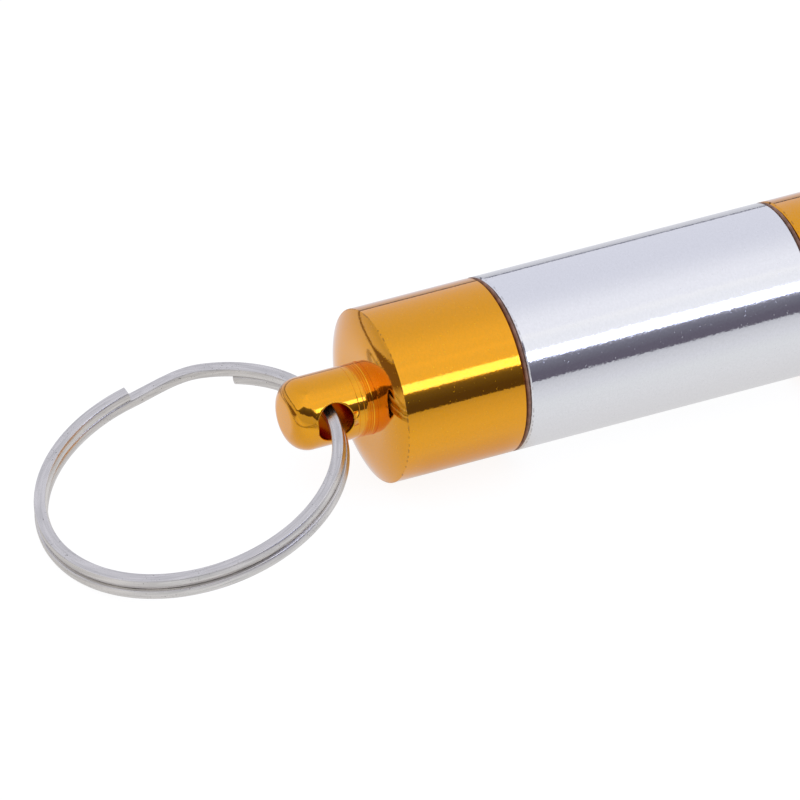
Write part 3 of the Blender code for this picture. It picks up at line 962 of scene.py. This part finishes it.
def make_studio():
    """The world: white to the camera; to the object, a tent whose front and back differ."""
    world = bpy.data.worlds.new("studio")
    bpy.context.scene.world = world
    world.use_nodes = True
    nodes = Nodes(world.node_tree)
    nodes.tree.nodes.clear()
    direction = nodes.add("ShaderNodeTexCoord").outputs["Generated"]
    parts = nodes.add("ShaderNodeSeparateXYZ", {0: direction}).outputs
    rise = nodes.math("DEGREES", nodes.math("ARCSINE", parts[2]))
    level = nodes.math("SQRT", nodes.math("SUBTRACT", 1.0, nodes.math("POWER", parts[2], 2.0)))
    front = nodes.math("DIVIDE", nodes.math("MULTIPLY", parts[1], -1.0), level)
    side = nodes.math("DIVIDE", parts[0], level)
    left = nodes.remap(side, LEFT_NONE, LEFT_FULL, 0.0, 1.0)
    reach = nodes.math("ADD", front, nodes.math("MULTIPLY", left, LEFT_REACH))
    width = nodes.remap(reach, GAP_NARROW_FROM, GAP_FULL_FROM, GAP_NARROW_SHARE, 1.0)
    middle = nodes.remap(front, GAP_BACK, GAP_SIDE, GAP_BACK_MIDDLE_DEG, GAP_MIDDLE_DEG)
    raised = nodes.remap(front, *LEFT_RISE_FRONT, 0.0, LEFT_RISE_DEG)
    middle = nodes.math("ADD", middle, nodes.math("MULTIPLY", left, raised))
    from_middle = nodes.math("DIVIDE", nodes.math("SUBTRACT", rise, middle), width)
    rise = nodes.math("ADD", from_middle, GAP_MIDDLE_DEG)
    place = nodes.remap(rise, STUDIO_LOW_DEG, STUDIO_HIGH_DEG, 0.0, 1.0)
    share = nodes.remap(front, BLEND_BACK, BLEND_FRONT, 0.0, 1.0)
    behind = band_ramp(nodes, place, BACK_BANDS)
    shade = nodes.mix_colour(share, behind, band_ramp(nodes, place, FRONT_BANDS))
    over = nodes.remap(rise, *STRIP_LOW_DEG, 0.0, 1.0)
    under = nodes.remap(rise, *STRIP_HIGH_DEG, 1.0, 0.0)
    ahead = nodes.remap(front, STRIP_NONE_TO, STRIP_FULL_FROM, 0.0, 1.0)
    ahead = nodes.math("MULTIPLY", ahead, nodes.remap(side, *STRIP_SIDE, 0.0, 1.0))
    strip = nodes.math("MULTIPLY", nodes.math("MULTIPLY", over, under), ahead)
    shade = nodes.mix_colour(strip, shade, studio_share(STRIP_COLOUR))
    mirrored = nodes.add("ShaderNodeBackground", {0: shade, 1: STUDIO_BRIGHTEST})
    white = nodes.add("ShaderNodeBackground", {0: colour(WHITE), 1: 1.0})
    both = nodes.by_ray(mirrored.outputs[0], white.outputs[0])
    nodes.add("ShaderNodeOutputWorld", {0: both})


def beyond_sheet(nodes, parts):
    """How far a place on the floor belongs to the dark part beyond the sheet's end."""
    x = nodes.math("DIVIDE", parts[0], MILLIMETRE)
    y = nodes.math("DIVIDE", parts[1], MILLIMETRE)
    left = nodes.remap(x, SHEET_END_X, SHEET_END_X - SHEET_END_SOFT, 0.0, 1.0)
    strip_end = SHEET_END_X - BEYOND_STRIP_WIDTH
    strip = nodes.remap(x, strip_end - SHEET_END_SOFT, strip_end, 0.0, 1.0)
    sloped = nodes.math("MULTIPLY", nodes.math("SUBTRACT", x, strip_end), BEYOND_BACK_SLOPE)
    back = nodes.math("SUBTRACT", nodes.math("ADD", sloped, BEYOND_BACK_Y), y)
    wide = nodes.remap(back, 0.0, SHEET_END_SOFT, 0.0, 1.0)
    deep = nodes.remap(y, *BEYOND_FRONT_Y, 0.0, 1.0)
    sideways = nodes.math("MULTIPLY", left, nodes.math("MAXIMUM", strip, wide))
    return nodes.math("MULTIPLY", sideways, deep)


def beside_cap(nodes, parts):
    """How far a place on the floor is tinted by the gold cap."""
    x = nodes.math("DIVIDE", parts[0], MILLIMETRE)
    along = nodes.remap(x, *TINT_X, 0.0, 1.0)
    along = nodes.math("MULTIPLY", along, nodes.remap(x, *TINT_X_END, 1.0, 0.0))
    away = nodes.math("ABSOLUTE", nodes.math("DIVIDE", parts[1], MILLIMETRE))
    return nodes.math("MULTIPLY", along, nodes.remap(away, *TINT_Y, 0.0, 1.0))


def make_floor():
    """A plain pale floor that shows white to the camera and keeps a faint shadow."""
    build = bmesh.new()
    corners = [(-1, -1), (1, -1), (1, 1), (-1, 1)]
    points = [build.verts.new((x * FLOOR_HALF_SIZE, y * FLOOR_HALF_SIZE, 0)) for x, y in corners]
    build.faces.new(points)
    mesh = bpy.data.meshes.new("floor")
    build.to_mesh(mesh)
    build.free()
    floor = bpy.data.objects.new("floor", mesh)
    bpy.context.scene.collection.objects.link(floor)
    material = bpy.data.materials.new("pale_floor")
    material.use_nodes = True
    nodes = Nodes(material.node_tree)
    nodes.tree.nodes.clear()
    place = nodes.add("ShaderNodeTexCoord").outputs["Object"]
    parts = nodes.add("ShaderNodeSeparateXYZ", {0: place}).outputs
    share = nodes.math("DIVIDE", nodes.math("ABSOLUTE", parts[1]), FLOOR_FARTHEST * MILLIMETRE)
    ramp = nodes.add("ShaderNodeValToRGB", {0: nodes.math("SQRT", share)})
    stops = ramp.color_ramp.elements
    for index, (distance, shade) in enumerate(FLOOR_GLOWS):
        position = math.sqrt(distance / FLOOR_FARTHEST)
        stop = stops[index] if index < 2 else stops.new(position)
        stop.position = position
        stop.color = colour(shade)
    glow = nodes.mix_colour(beside_cap(nodes, parts), ramp.outputs[0], colour(TINT_COLOUR))
    glow = nodes.mix_colour(beyond_sheet(nodes, parts), glow, colour(BEYOND_COLOUR))
    mirrored = nodes.add("ShaderNodeEmission", {0: glow, 1: 1.0})
    strength = FLOOR_SEEN_GLOW / (1 - FLOOR_SHADED_SHARE)
    seen = nodes.add("ShaderNodeEmission", {0: colour(WHITE), 1: strength}).outputs[0]
    shaded = nodes.add("ShaderNodeBsdfDiffuse", {0: colour(FLOOR_COLOUR)}).outputs[0]
    to_camera = nodes.add("ShaderNodeMixShader", {0: FLOOR_SHADED_SHARE, 1: seen, 2: shaded})
    both = nodes.by_ray(mirrored.outputs[0], to_camera.outputs[0])
    nodes.add("ShaderNodeOutputMaterial", {0: both})
    mesh.materials.append(material)


def make_case():
    """Every piece of the case, each in the place of its node."""
    cap_gold = gold_anodised("gold_anodised_cap", (0.0, CAP_LENGTH - SHOULDER_DROP))
    tube_gold = gold_anodised("gold_anodised_tube", TUBE_EDGES)
    silver = silver_polished()
    seal = rubber()
    make_cap(cap_gold, gold_drilled_painted_shade())
    make_tube("section_1", silver)
    make_tube("section_2", tube_gold)
    make_tube("section_3", silver)
    for node in ("seal_1", "seal_2", "seal_3"):
        make_seal(node, seal)
    make_split_ring(ring_steel())


bpy.context.scene.view_settings.view_transform = "Standard"
make_camera()
make_studio()
make_floor()
make_case()
